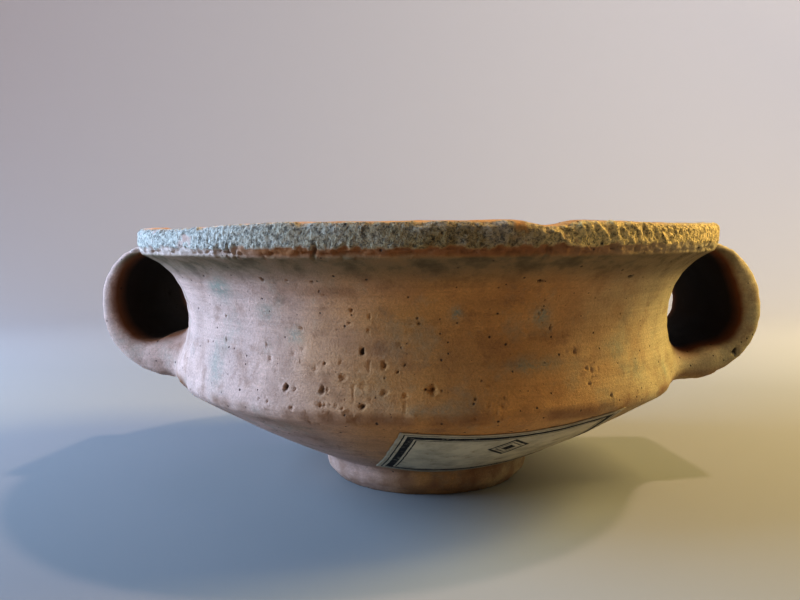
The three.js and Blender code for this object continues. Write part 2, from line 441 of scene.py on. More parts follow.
# Away from the handle roots the skin is drawn back onto the thrown bowl, whose edges are crisp.
for vertex in clay.verts:
    place, _, _, gap = thrown_surface.find_nearest(vertex.co)
    from_joint = min((vertex.co - middle).length for middle in joint_middles)
    if gap < thrown_gap:
        pull = min(1, 2 - 2 * gap / thrown_gap) * min(1, max(0, (from_joint - joint_core) / joint_blend))
        vertex.co = vertex.co.lerp(place, pull)
clay.normal_update()
clay.verts.ensure_lookup_table()
clay.verts.index_update()


# Wear and burial. Throwing marks run round the wall, the lip has lost small flakes along its
# edges, and a sandy crust from the ground still covers the flat band of the lip.
# What is worn, crusted or soiled, and the light and shade painted into the clay, is kept on the skin as
# attributes for the clay's material.
lip_chips = [
    (-56, 38, 0.8),
    (18.5, 5, 0.9),
    (52, 30, 0.5),
    (118, 8, 1.1),
    (163, 15, 0.6),
    (214, 7, 1.3),
    (262, 9, 0.7),
]
edge_bites = [
    (-31.2, 1.3, 0.8),
    (-29.9, 1.0, 0.5),
    (-33.5, 1.6, 0.45),
    (-16.2, 1.0, 0.8),
    (-11.5, 1.3, 0.4),
    (-2.0, 1.1, 0.35),
    (18.0, 1.6, 0.6),
    (58.0, 1.4, 0.5),
    (101.0, 2.4, 0.8),
    (141.0, 1.6, 0.7),
    (188.0, 2.8, 0.9),
    (235.0, 2.0, 0.7),
    (281.0, 2.2, 0.8),
]
torn_from, torn_to = 10, 50
ridge_pitch, ridge_depth = 3.3, 0.06
spiral_pitch, spiral_depth = 6.2, 0.20
green_stains = [
    (-43.0, 50.5, 4.0, 2.6, 0.8),
    (-31.0, 45.6, 2.6, 1.6, 0.6),
    (-25.6, 41.2, 2.0, 1.8, 0.9),
    (-48.0, 33.0, 3.0, 4.0, 0.5),
    (5.5, 46.0, 1.0, 1.2, 0.9),
    (21.5, 45.0, 1.8, 1.8, 0.8),
    (20.0, 36.0, 7.0, 1.4, 0.6),
    (40.0, 37.5, 3.5, 2.4, 0.5),
    (47.0, 33.0, 4.0, 3.0, 0.5),
    (1.0, 28.0, 5.0, 1.2, 0.5),
    (-36.0, 25.0, 4.0, 1.6, 0.4),
    (62.0, 30.0, 4.0, 3.0, 0.5),
    (118.0, 44.0, 6.0, 5.0, 0.6),
    (150.0, 33.0, 9.0, 3.0, 0.6),
    (176.0, 48.0, 5.0, 4.0, 0.5),
    (205.0, 36.0, 7.0, 5.0, 0.7),
    (238.0, 46.0, 6.0, 3.0, 0.6),
    (160.0, 19.0, 9.0, 3.0, 0.6),
    (215.0, 16.0, 8.0, 3.0, 0.5),
]
rusty_stains = [
    (-16.0, 50.2, 7.0, 1.1, 0.50),
    (12.0, 48.5, 9.0, 1.4, 0.25),
    (-14.0, 27.0, 3.0, 0.6, 0.60),
    (-34.0, 23.5, 6.0, 1.6, 0.35),
    (34.0, 26.5, 8.0, 1.0, 0.35),
    (170.0, 29.0, 10.0, 1.4, 0.40),
]
hole_radius, hole_height = 69.0, 43.5

places = np.array([v.co for v in clay.verts])
normals = np.array([v.normal for v in clay.verts])
radii = np.hypot(places[:, 0], places[:, 1])
azimuths = np.degrees(np.arctan2(places[:, 0], -places[:, 1]))
heights = places[:, 2]
outwards = (normals[:, 0] * places[:, 0] + normals[:, 1] * places[:, 1]) / np.maximum(radii, 1e-6)
round_the_rim = np.radians(azimuths)
rim_run = round_the_rim * lip_radius


def ease(value, start, end):
    share = np.clip((value - start) / (end - start), 0, 1)
    return share * share * (3 - 2 * share)


def cloud(points, lump, seed, octaves=3):
    """Fractal noise from about -1 to 1, with its largest lumps lump millimetres across."""
    shift = Vector((seed * 17.3, seed * 5.9, seed * 11.1))
    return np.array([noise.fractal(Vector(p) / lump + shift, 0.9, 2.1, octaves) for p in points])


ring_points = np.stack([np.sin(round_the_rim), -np.cos(round_the_rim), 0 * round_the_rim], 1) * lip_radius
bowl_inside = (radii < shoulder_radius - 2.5 + np.maximum(0, heights - 50)) & (outwards < 0.35)
bowl_inside &= (heights > floor_height - 1.5) & (radii < lip_inside + 1.5)
inside = bowl_inside.astype(float)
wall_band = ease(heights, 26, 29) * (1 - ease(heights, 53, 56))

slow = cloud(places, 34, 1, 2)
middling = cloud(places, 7, 2, 3)
fine = cloud(places, 2.2, 3, 2)
lift = 0.22 * slow + 0.10 * middling + 0.035 * fine
ridge_turns = heights / ridge_pitch + 0.35 * cloud(ring_points, 60, 4, 1)
lift += (1 - inside) * wall_band * ridge_depth * np.sin(math.tau * ridge_turns)
spiral_turns = heights / spiral_pitch + azimuths / 360
lift += inside * spiral_depth * np.sin(math.tau * spiral_turns) * ease(radii, 4, 16)
shoulder_line = np.exp(-(((heights - shoulder_height - 0.5) / 1.3) ** 2)) * ease(radii, 58.5, 60)
lift += (1 - inside) * shoulder_line * (0.15 + 0.35 * cloud(places, 3.5, 12, 3))

band = ease(radii, lip_radius - 1.6, lip_radius - 0.7) * ease(heights, lip_bottom - 0.4, lip_bottom + 0.3)
crust_foot = lip_bottom + 1.4 + 0.7 * cloud(ring_points, 7, 5, 4) + 0.5 * cloud(places, 1.6, 18, 2)
crust_patches = ease(cloud(places, 6, 6, 4), -0.80, -0.55)
crust = band * ease(heights, crust_foot, crust_foot + 0.35) * crust_patches
grit = cloud(places, 0.8, 7, 2)
lift += crust * (0.10 + 0.16 * grit + 0.12 * cloud(places, 2.4, 19, 2))
torn = band * ease(azimuths, torn_from, torn_from + 6) * (1 - ease(azimuths, torn_to - 12, torn_to))
flake_across = 0.83 * rim_run + 0.55 * heights
flake_along = 0.55 * rim_run - 0.83 * heights
flakes = cloud(np.stack([flake_across / 1.6, flake_along / 5.0, 0 * heights], 1), 1, 13, 3)
lift -= torn * (0.15 + 0.5 * flakes)
bare_edge = band * (1 - ease(heights, crust_foot, crust_foot + 0.35))
notches = ease(cloud(places, 2.6, 8, 3), 0.05, 0.5)
lift -= bare_edge * (0.20 + 0.35 * notches + 0.18 * cloud(places, 1.3, 14, 2))
lower_edge = band * np.exp(-(((heights - lip_bottom - 0.2) / 0.7) ** 2))
lift -= lower_edge * 0.55 * ease(cloud(places, 2.0, 20, 3), -0.1, 0.5)
top_edge = ease(heights, lip_top - 1.1, lip_top - 0.3) * ease(radii, lip_radius - 2.0, lip_radius - 0.6)
top_notches = ease(cloud(ring_points, 3.5, 9, 4), 0.1, 0.6)
lift -= top_edge * (0.10 + 0.45 * top_notches)
worn_foot = (1 - ease(heights, 0, 3.2)) * ease(radii, foot_radius - 2.5, foot_radius - 1.0)
lift -= worn_foot * (0.9 + 0.4 * middling)

for azimuth, spread, depth in lip_chips:
    away = np.abs((azimuths - azimuth + 180) % 360 - 180)
    loss = depth * ease(1 - away / spread, 0, 1) * ease(heights, lip_top - 2.4, lip_top - 0.9)
    places[:, 2] -= loss * (radii > lip_inside - 2)
bitten = np.zeros(len(places))
for azimuth, width, depth in edge_bites:
    across = ((azimuths - azimuth + 180) % 360 - 180) * math.radians(lip_radius) / (width / 2)
    lean = across - 0.5 * (heights - lip_bottom - 1.2) + 0.8 * fine
    upright = (heights - lip_bottom - 0.8) / 1.6
    bitten = np.maximum(bitten, depth * np.clip(1 - lean**2 - upright**2, 0, 1) ** 0.5)
bitten *= ease(radii, lip_radius - 2.5, lip_radius - 1.0)
bitten *= ease(heights, lip_bottom - 1.5, lip_bottom - 0.5)
lift -= bitten

# Dark cores in the colour of the edge bites and the deep pits, partly earth lodged in them and partly
# painted shade in the hollows.
pit_dirt_and_shade = np.clip(bitten - 0.35, 0, 0.5)
vertex_tree = KDTree(len(places))
for i, p in enumerate(places):
    vertex_tree.insert(p, i)
vertex_tree.balance()
ragged = cloud(places, 1.1, 15, 3)
for middle, across, tall, depth in pits:
    turn = math.atan2(middle.y, middle.x)
    sideways = Vector((-math.sin(turn), math.cos(turn), 0))
    for p, i, _ in vertex_tree.find_range(middle, max(across, tall) * 0.75):
        away = p - middle
        aside = away.dot(sideways) * 2 / across
        rest = (away - sideways * away.dot(sideways)).length * 2 / tall
        out = math.sqrt(aside**2 + rest**2) + 0.65 * ragged[i]
        hollow = max(0.0, 1 - out**2) ** 0.8
        brim = math.exp(-(((out - 1.2) / 0.25) ** 2))
        core = min(1.0, max(0.0, 1.8 - 2 * out)) * min(1.0, max(0.0, (depth - 0.42) / 0.3))
        pit_dirt_and_shade[i] = max(pit_dirt_and_shade[i], core)
        lift[i] -= depth * (hollow - 0.12 * brim)

places += normals * lift[:, None]
# The band under the lip, on faces that turn downwards, is partly a smear of earth and partly painted shade
# cast by the overhanging lip.
under_lip = ease(heights, lip_bottom - 7.0, lip_bottom - 1.5) * ease(-normals[:, 2], -0.35, 0.15)
smear_and_shade = (1 - inside) * (1 - band) * under_lip * ease(radii, 56, 58)
soil_and_shade = ease(-middling, -0.1, 1.0) * 0.30
soil_and_shade += shoulder_line * 0.7 * ease(cloud(ring_points, 14, 16, 3), -0.3, 0.3)
# Partly soil and partly painted shade: the foot and the belly just above it are darkened, as they lie under
# the overhang of the bowl.
at_foot = ease(foot_radius + 3 - radii, 0, 3) * (1 - ease(heights, foot_height, foot_height + 3))
soil_and_shade += (1 - inside) * at_foot * (0.15 + 0.5 * ease(cloud(places, 5, 21, 3), -0.3, 0.4))
soil_and_shade = np.where(inside > 0, 0.35 + 0.4 * (1 - ease(heights, 9, 26)), soil_and_shade)
# Painted shade inside the handle loops: faces that look into the hole are darkened, most of all deep in
# from the strap's edges.
handle_shade = np.zeros(len(places))
for turn in (right_turn, left_turn):
    outward = np.array([math.cos(math.radians(turn)), math.sin(math.radians(turn))])
    sideways = np.array([-outward[1], outward[0]])
    out, aside = places[:, :2] @ outward, np.abs(places[:, :2] @ sideways)
    to_hole = np.stack([hole_radius - out, hole_height - heights], 1)
    away = np.hypot(to_hole[:, 0], to_hole[:, 1])
    faces_hole = ((normals[:, :2] @ outward) * to_hole[:, 0] + normals[:, 2] * to_hole[:, 1]) / (away + 0.1)
    deep_in = 1 - ease(aside, strap_width / 2 - 7, strap_width / 2 + 0.5)
    near = (1 - ease(away, 15, 18)) * ease(out, 54, 56)
    handle_shade = np.maximum(handle_shade, ease(faces_hole, 0.3, 0.8) * near * (0.15 + 0.85 * deep_in))
# Painted light: the clay's tone turns with azimuth, pale at the left under the cool window and warmer and
# lighter at the right where the warm lamp falls; the cloudy noise on the turn is the clay's own.
mottled_turn = 0.08 * slow + 0.06 * middling
warm_lit_side = ease(np.sin(round_the_rim + math.radians(14)) + mottled_turn, -0.40, 0.30)
bright_lit_side = ease(np.sin(round_the_rim - math.radians(8)) + mottled_turn, 0.05, 0.85)
stains, rust = np.zeros(len(places)), np.zeros(len(places))
for marks, spots in ((stains, green_stains), (rust, rusty_stains)):
    for azimuth, height, wide, tall, strength in spots:
        aside = ((azimuths - azimuth + 180) % 360 - 180) * math.radians(shoulder_radius) / wide
        spot = np.exp(-(aside**2) - ((heights - height) / tall) ** 2) * (1 - inside) * (outwards > 0)
        np.maximum(marks, strength * spot, out=marks)
    marks *= ease(middling + 0.6 * fine, -0.6, 0.3)
soil_and_shade = np.maximum(soil_and_shade, rust)
edge_wear = np.clip(bare_edge + 0.35 * top_edge * (0.2 + top_notches), 0, 1)

for vertex, place in zip(clay.verts, places):
    vertex.co = place
clay_skin = bpy.data.meshes.new("clay cup")
clay.to_mesh(clay_skin)
clay.free()
skin_marks = {
    "crust": crust,
    "edge_wear": edge_wear,
    "pit_dirt_and_shade": pit_dirt_and_shade,
    "smear_and_shade": smear_and_shade,
    "soil_and_shade": np.clip(soil_and_shade, 0, 1),
    "handle_shade": handle_shade,
    "stains": stains,
    "warm_lit_side": warm_lit_side,
    "bright_lit_side": bright_lit_side,
}
for name, values in skin_marks.items():
    clay_skin.attributes.new(name, "FLOAT", "POINT").data.foreach_set("value", values.astype(np.float32))
clay_skin.shade_smooth()
belly_surface = BVHTree.FromPolygons(
    [v.co.copy() for v in clay_skin.vertices], [tuple(p.vertices) for p in clay_skin.polygons]
)
clay_skin.transform(Matrix.Scale(MM, 4))
clay_cup = bpy.data.objects.new("clay_cup", clay_skin)
bpy.context.scene.collection.objects.link(clay_cup)


# Fired clay, unglazed: low-fired pinkish buff earthenware with sand in it, wiped smooth with a wet
# hand and then buried. It is dull all over, mottled pink to buff, stained grey-green in patches
# and brown with soil. Shade is painted into it as well: in its hollows, under the lip, inside the
# handles and on the foot. Its colour turns from pink at the left to orange and sandy buff at the right,
# and its crust from grey to ochre: painted light that follows the cool window and the warm lamp.
def colour(code):
    """The linear colour of an sRGB hex value."""
    parts = [int(code[i : i + 2], 16) / 255 for i in (1, 3, 5)]
    return [c / 12.92 if c <= 0.04045 else ((c + 0.055) / 1.055) ** 2.4 for c in parts] + [1.0]


def node(tree, kind, inputs=None, give=0, **settings):
    """Adds a node with its settings and its inputs, values or links, and gives one of its outputs."""
    made = tree.nodes.new("ShaderNode" + kind)
    for name, value in settings.items():
        setattr(made, name, value)
    for socket, value in (inputs or {}).items():
        if isinstance(value, bpy.types.NodeSocket):
            tree.links.new(value, made.inputs[socket])
        else:
            made.inputs[socket].default_value = value
    return made.outputs[give] if made.outputs else made


def per_metre(millimetres):
    """The texture scale whose features are so many millimetres across, on coordinates in metres."""
    return 1 / (millimetres * MM)


clay_pink = colour("#d0aa97")
clay_warm_lit_orange = colour("#c88f51")
clay_bright_lit_sand = colour("#bca982")
stain_green = colour("#86917f")
soil_and_shade_brown = colour("#84583a")
handle_shade_rust = colour("#7d4a29")
handle_shade_dark = colour("#2a1a0f")
pit_dirt_and_shade_brown = colour("#2b1d15")
smear_shade_brown = colour("#7b694b")
smear_shade_dark = colour("#5a4e35")
crust_grey = colour("#d2c5b3")
crust_olive = colour("#a68a5b")
crust_warm_lit_ochre = colour("#e8ca8a")
edge_pale = colour("#cfb4a2")
edge_brown = colour("#9c663c")
edge_dark = colour("#5f3b25")

fired_clay = bpy.data.materials.new("fired_clay_unglazed")
fired_clay.use_nodes = True
tree = fired_clay.node_tree
tree.nodes.clear()
here = node(tree, "TexCoord", give="Object")

# Sockets by number: a Mix takes its share at 0 and its colours at 6 and 7, and gives a colour at 2.
# A MapRange spreads what it takes at 0 from between 1 and 2, to between 3 and 4.
mark = {name: node(tree, "Attribute", give="Fac", attribute_name=name) for name in skin_marks}

# The clay itself: pink at the left, orange to sandy buff at the right, a turn that is painted light
# following the cool window and the warm lamp; cloudy all over, with soil and painted shade rubbed
# into it and the thrower's fine lines and sand on top.
mottle = node(tree, "TexNoise", {"Vector": here, "Scale": per_metre(14), "Detail": 5.0, "Roughness": 0.6})
base = node(tree, "Mix", {0: mark["warm_lit_side"], 6: clay_pink, 7: clay_warm_lit_orange}, 2, data_type="RGBA")
base = node(tree, "Mix", {0: mark["bright_lit_side"], 6: base, 7: clay_bright_lit_sand}, 2, data_type="RGBA")
blotch = node(tree, "TexNoise", {"Vector": here, "Scale": per_metre(5), "Detail": 5.0, "Roughness": 0.7})
blotched = node(tree, "MapRange", {0: blotch, 1: 0.52, 2: 0.72, 4: 0.5})
base = node(tree, "Mix", {0: blotched, 6: base, 7: soil_and_shade_brown}, 2, data_type="RGBA")
greening = node(tree, "TexNoise", {"Vector": here, "Scale": per_metre(9), "Detail": 6.0, "Roughness": 0.7})
greened = node(tree, "MapRange", {0: greening, 1: 0.55, 2: 0.72, 4: 0.35})
base = node(tree, "Mix", {0: greened, 6: base, 7: stain_green}, 2, data_type="RGBA")
stain_grain = node(tree, "TexNoise", {"Vector": here, "Scale": per_metre(0.8), "Roughness": 0.7})
stained = node(tree, "MapRange", {0: stain_grain, 1: 0.28, 2: 0.52})
stained = node(tree, "Math", {0: mark["stains"], 1: stained}, operation="MULTIPLY")
base = node(tree, "Mix", {0: stained, 6: base, 7: stain_green}, 2, data_type="RGBA")
cloudy_shade = node(tree, "MapRange", {0: mottle, 1: 0.3, 2: 0.7, 3: 0.84, 4: 1.12})
base = node(tree, "VectorMath", {0: base, "Scale": cloudy_shade}, operation="SCALE")
wheel_lines = node(tree, "Mapping", {"Vector": here, "Scale": (0.03, 0.03, 1.0)})
streaks = node(tree, "TexNoise", {"Vector": wheel_lines, "Scale": per_metre(0.9), "Roughness": 0.6})
streak_shade = node(tree, "MapRange", {0: streaks, 1: 0.3, 2: 0.7, 3: 0.93, 4: 1.06})
base = node(tree, "VectorMath", {0: base, "Scale": streak_shade}, operation="SCALE")
sand = node(tree, "TexNoise", {"Vector": here, "Scale": per_metre(0.45), "Detail": 3.0, "Roughness": 0.8})
sand_shade = node(tree, "MapRange", {0: sand, 1: 0.3, 2: 0.7, 3: 0.8, 4: 1.16})
base = node(tree, "VectorMath", {0: base, "Scale": sand_shade}, operation="SCALE")
base = node(tree, "Mix", {0: mark["soil_and_shade"], 6: base, 7: soil_and_shade_brown}, 2, data_type="RGBA")

# The dark band under the lip, in soft clouds: partly a smear of earth left there and partly painted shade
# from the overhanging lip.
smear_shade_settings = {"Vector": here, "Scale": per_metre(5), "Detail": 5.0, "Roughness": 0.6}
smear_shade_cloud = node(tree, "TexNoise", smear_shade_settings)
smear_shade_thick = node(tree, "MapRange", {0: smear_shade_cloud, 1: 0.48, 2: 0.66})
smear_shade_tone = node(tree, "Mix", {0: smear_shade_thick, 6: smear_shade_brown, 7: smear_shade_dark}, 2, data_type="RGBA")
smear_shaded = node(tree, "MapRange", {0: smear_shade_cloud, 1: 0.25, 2: 0.55, 3: 0.6, 4: 0.92})
smear_shaded = node(tree, "Math", {0: mark["smear_and_shade"], 1: smear_shaded}, operation="MULTIPLY")
base = node(tree, "Mix", {0: smear_shaded, 6: base, 7: smear_shade_tone}, 2, data_type="RGBA")

# The bare worn edges of the lip: pale at the left, brown in front and sandy at the right, a turn
# that is painted light following the cool window and the warm lamp.
edge_settings = {"Vector": here, "Scale": per_metre(3), "Detail": 4.0, "Roughness": 0.65}
edge_cloud = node(tree, "TexNoise", edge_settings)
edge_warm_side = node(tree, "MapRange", {0: mark["warm_lit_side"], 1: 0.0, 2: 0.3})
edge_tone = node(tree, "Mix", {0: edge_warm_side, 6: edge_pale, 7: edge_brown}, 2, data_type="RGBA")
edge_dirt = node(tree, "MapRange", {0: edge_cloud, 1: 0.46, 2: 0.72, 4: 0.55})
edge_tone = node(tree, "Mix", {0: edge_dirt, 6: edge_tone, 7: edge_dark}, 2, data_type="RGBA")
edge_tone = node(tree, "Mix", {0: mark["bright_lit_side"], 6: edge_tone, 7: clay_bright_lit_sand}, 2, data_type="RGBA")
base = node(tree, "Mix", {0: mark["edge_wear"], 6: base, 7: edge_tone}, 2, data_type="RGBA")

# The crust of burial earth on the band, sand grains with dark gaps between them, dark partly with
# earth and partly as painted shade between the raised grains.
# Painted light: the crust is grey at the left under the cool window and olive to ochre towards the right,
# where the warm lamp falls; the blotches on it are its own.
olive = node(tree, "MapRange", {0: blotch, 1: 0.30, 2: 0.52, 3: 0.35, 4: 1.0})
olive = node(tree, "Math", {0: olive, 1: mark["warm_lit_side"]}, operation="MULTIPLY")
crust_tone = node(tree, "Mix", {0: olive, 6: crust_grey, 7: crust_olive}, 2, data_type="RGBA")
warm_lit_ochre = node(tree, "MapRange", {0: mark["bright_lit_side"], 1: 0.0, 2: 0.14, 4: 0.95})
crust_tone = node(tree, "Mix", {0: warm_lit_ochre, 6: crust_tone, 7: crust_warm_lit_ochre}, 2, data_type="RGBA")
grains = node(tree, "TexNoise", {"Vector": here, "Scale": per_metre(0.8), "Detail": 3.0, "Roughness": 0.75})
grain_shade = node(tree, "MapRange", {0: grains, 1: 0.36, 2: 0.56, 3: 0.32, 4: 1.12})
crust_tone = node(tree, "VectorMath", {0: crust_tone, "Scale": grain_shade}, operation="SCALE")
base = node(tree, "Mix", {0: mark["crust"], 6: base, 7: crust_tone}, 2, data_type="RGBA")

# Painted shade inside the handles, on the faces that look into the hole: rusty brown where it thins out and
# nearly black deep in.
shade_fringe = node(tree, "MapRange", {0: mark["handle_shade"], 1: 0.0, 2: 0.3})
base = node(tree, "Mix", {0: shade_fringe, 6: base, 7: handle_shade_rust}, 2, data_type="RGBA")
shade_core = node(tree, "MapRange", {0: mark["handle_shade"], 1: 0.3, 2: 0.95})
base = node(tree, "Mix", {0: shade_core, 6: base, 7: handle_shade_dark}, 2, data_type="RGBA")

# Pinholes where single grains of sand have dropped out, 0.2 to 0.6 mm across. They and the deep
# pits are painted dark brown, partly as earth and grit in them and partly as painted shade in the hollows.
pinholes = {"Vector": here, "Scale": per_metre(1.5), "Randomness": 1.0}
pinhole_chance = node(tree, "TexVoronoi", pinholes, "Color")
pinhole_chance = node(tree, "SeparateColor", {0: pinhole_chance})
pinhole_size = node(tree, "MapRange", {0: pinhole_chance, 1: 0.5, 2: 1.0, 4: 0.25})
pinhole_away = node(tree, "TexVoronoi", pinholes)
pinhole_depth = node(tree, "MapRange", {0: pinhole_away, 1: pinhole_size, 2: 0.0})
hollow_dirt_and_shade = node(tree, "Math", {0: mark["pit_dirt_and_shade"], 1: pinhole_depth}, operation="MAXIMUM")
hollow_dirt_and_shade = node(tree, "MapRange", {0: hollow_dirt_and_shade, 1: 0.05, 2: 0.6, 4: 0.88})
base = node(tree, "Mix", {0: hollow_dirt_and_shade, 6: base, 7: pit_dirt_and_shade_brown}, 2, data_type="RGBA")

normal = node(tree, "Bump", {"Height": sand, "Strength": 0.6, "Distance": 0.3 * MM})
normal = node(tree, "Bump", {"Height": streaks, "Strength": 0.3, "Distance": 0.3 * MM, "Normal": normal})
normal = node(
    tree,
    "Bump",
    {"Height": pinhole_depth, "Strength": 0.8, "Distance": 0.4 * MM, "Normal": normal},
    invert=True,
)
normal = node(
    tree, "Bump", {"Height": grains, "Strength": mark["crust"], "Distance": 1.0 * MM, "Normal": normal}
)
roughness = node(tree, "MapRange", {0: mottle, 1: 0.3, 2: 0.7, 3: 0.84, 4: 0.95})
surface = node(
    tree,
    "BsdfPrincipled",
    {"Base Color": base, "Roughness": roughness, "Normal": normal, "Specular IOR Level": 0.3},
)
node(tree, "OutputMaterial", {"Surface": surface})

clay_skin.materials.append(fired_clay)
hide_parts("kylix_cup")
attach(clay_cup, "root")


# The label. A rectangle of old rag paper with a printed border of a broad rule between two thin
# ones, pasted on the belly at a slant. It has yellowed, and it follows the bumps of the clay.
# The place of its printed device has a plain lozenge ornament, and the rest of it is blank.
label_width = 47.0
label_height = 32.0
label_azimuth = 21.0
label_slant = 7.0
label_clear_of_foot = 2.5
paper_thickness = 0.16
paste_gap = 0.05
paper_faces = 2.2  # to a millimetre
rag_seed = 5

belly_run = belly[-1] - belly[0]
belly_slope = math.atan2(belly_run.z, belly_run.x)
narrowing = math.cos(belly_slope)
outwards_down = Vector((math.sin(belly_slope), 0, -math.cos(belly_slope)))
label_middle = (belly[0].x / narrowing + label_clear_of_foot + label_height / 2) / math.cos(
    math.radians(label_slant)
)
across_steps = int(label_width * paper_faces)
down_steps = int(label_height * paper_faces)
paper = bmesh.new()
bmesh.ops.create_grid(
    paper, x_segments=across_steps, y_segments=down_steps, size=0.5, calc_uvs=False
)
print_place = paper.loops.layers.uv.new("print")
for face in paper.faces:
    for loop in face.loops:
        loop[print_place].uv = (loop.vert.co.x + 0.5, loop.vert.co.y + 0.5)
slanted = Matrix.Rotation(math.radians(label_slant), 2)
rag_shift = Vector((4.2, 1.7, 9.3))
noise.seed_set(rag_seed)  # Blender starts its noise vectors from the clock otherwise.
seats = []
for vertex in paper.verts:
    flat = Vector((vertex.co.x * label_width, vertex.co.y * label_height))
    rag = noise.noise_vector(Vector((flat.x / 2.5, flat.y / 2.5, 0)) + rag_shift) * 0.18
    flat += rag.xy * (1 if vertex.is_boundary else 0.2)
    flat = slanted @ flat + Vector((0, label_middle))
    turn = math.radians(label_azimuth) + math.atan2(flat.x, flat.y) / narrowing
    radius = flat.length * narrowing
    height = belly[0].z + (radius - belly[0].x) * math.tan(belly_slope)
    round_about = Matrix.Rotation(turn - math.pi / 2, 3, "Z")
    facing = round_about @ outwards_down
    start = round_about @ Vector((radius, 0, height)) + facing * 6
    hit = belly_surface.ray_cast(start, -facing, 20)[0]
    seats.append((start, facing, 6 - (start - hit).length))
clay_swell = np.array([seat[2] for seat in seats])
drape = clay_swell.copy()
neighbours = [[edge.other_vert(vertex).index for edge in vertex.link_edges] for vertex in paper.verts]
for _ in range(12):
    spread = np.array([drape[beside].mean() for beside in neighbours])
    drape = np.maximum(clay_swell, spread)
for vertex, (start, facing, _), swell in zip(paper.verts, seats, drape):
    vertex.co = start - facing * (6 - swell - paste_gap - paper_thickness)
bmesh.ops.recalc_face_normals(paper, faces=paper.faces)
if sum(face.normal.z for face in paper.faces) > 0:
    bmesh.ops.reverse_faces(paper, faces=paper.faces)
bmesh.ops.solidify(paper, geom=paper.faces[:], thickness=paper_thickness)
bmesh.ops.recalc_face_normals(paper, faces=paper.faces)
paper_mesh = bpy.data.meshes.new("paper label")
paper.to_mesh(paper_mesh)
paper.free()
paper_mesh.shade_smooth()
paper_mesh.transform(Matrix.Scale(MM, 4))
label = bpy.data.objects.new("pasted_label", paper_mesh)
bpy.context.scene.collection.objects.link(label)

# Rag paper, letterpress printed: matt, off-white gone grey and brown at the edges, with the ink
# worn thin in places. The print is laid out in millimetres from the label's lower left corner.
paper_white = colour("#d2c5a9")
paper_grey = colour("#aba089")
paper_brown = colour("#8a6a45")
printing_ink = colour("#1d1b1c")
border_rules = ((0.9, 1.2), (1.75, 3.25), (3.7, 4.0))
device_middle = (24.3, 21.6)
device_size = (9.4, 12.0)
device_rules = ((-1.0, 0.34), (0.56, 0.64), (0.78, 0.97))

rag_paper = bpy.data.materials.new("aged_rag_paper_printed")
rag_paper.use_nodes = True
tree = rag_paper.node_tree
tree.nodes.clear()
print_map = node(tree, "UVMap", uv_map="print")
on_sheet = node(tree, "Mapping", {"Vector": print_map, "Scale": (label_width, label_height, 1.0)})
wobble = node(tree, "TexNoise", {"Vector": on_sheet, "Scale": 0.9, "Detail": 2.0}, "Color")
wobble = node(tree, "VectorMath", {0: wobble, 1: (0.5, 0.5, 0.5)}, operation="SUBTRACT")
wobble = node(tree, "VectorMath", {0: wobble, "Scale": 0.3}, operation="SCALE")
printed_at = node(tree, "VectorMath", {0: on_sheet, 1: wobble}, operation="ADD")
sheet_half = (label_width / 2, label_height / 2, 0.0)
from_middle = node(tree, "VectorMath", {0: printed_at, 1: sheet_half}, operation="SUBTRACT")
from_middle = node(tree, "VectorMath", {0: from_middle}, operation="ABSOLUTE")
from_edge = node(tree, "VectorMath", {0: sheet_half, 1: from_middle}, operation="SUBTRACT")
from_side = node(tree, "SeparateXYZ", {0: from_edge}, "X")
from_top = node(tree, "SeparateXYZ", {0: from_edge}, "Y")
edge_distance = node(tree, "Math", {0: from_side, 1: from_top}, operation="MINIMUM")
off_device = node(tree, "VectorMath", {0: printed_at, 1: (*device_middle, 0.0)}, operation="SUBTRACT")
off_device = node(tree, "VectorMath", {0: off_device}, operation="ABSOLUTE")
device_shares = (*(2 / size for size in device_size), 0.0)
lozenge = node(tree, "VectorMath", {0: off_device, 1: device_shares}, "Value", operation="DOT_PRODUCT")

# Each rule of the border and of the device is one between two distances, and softens at its edges.
inked = 0.0
ruled = [(edge_distance, rule, 0.06) for rule in border_rules]
ruled += [(lozenge, rule, 0.04) for rule in device_rules]
for distance, (low, high), soft in ruled:
    half = (high - low) / 2
    off_rule = node(tree, "Math", {0: distance, 1: low + half}, operation="SUBTRACT")
    off_rule = node(tree, "Math", {0: off_rule}, operation="ABSOLUTE")
    rule = node(tree, "MapRange", {0: off_rule, 1: half + soft, 2: half - soft})
    inked = node(tree, "Math", {0: inked, 1: rule}, operation="MAXIMUM")
ink_wear = node(tree, "TexNoise", {"Vector": on_sheet, "Scale": 0.55, "Detail": 5.0, "Roughness": 0.7})
ink_left = node(tree, "MapRange", {0: ink_wear, 1: 0.30, 2: 0.44, 3: 0.5, 4: 1.0})
inked = node(tree, "Math", {0: inked, 1: ink_left}, operation="MULTIPLY")
ageing = node(tree, "TexNoise", {"Vector": on_sheet, "Scale": 0.16, "Detail": 5.0, "Roughness": 0.65})
greyed = node(tree, "MapRange", {0: ageing, 1: 0.4, 2: 0.62, 4: 0.8})
paper_tone = node(tree, "Mix", {0: greyed, 6: paper_white, 7: paper_grey}, 2, data_type="RGBA")
foxing = node(tree, "TexNoise", {"Vector": on_sheet, "Scale": 0.33, "Detail": 6.0, "Roughness": 0.7})
foxed = node(tree, "MapRange", {0: foxing, 1: 0.56, 2: 0.72, 4: 0.7})
dirty_edge = node(tree, "MapRange", {0: edge_distance, 1: 1.2, 2: 0.0, 4: 0.45})
browned = node(tree, "Math", {0: foxed, 1: dirty_edge}, operation="MAXIMUM")
paper_tone = node(tree, "Mix", {0: browned, 6: paper_tone, 7: paper_brown}, 2, data_type="RGBA")
paper_tone = node(tree, "Mix", {0: inked, 6: paper_tone, 7: printing_ink}, 2, data_type="RGBA")
fibre = node(tree, "TexNoise", {"Vector": on_sheet, "Scale": 2.6, "Detail": 3.0})
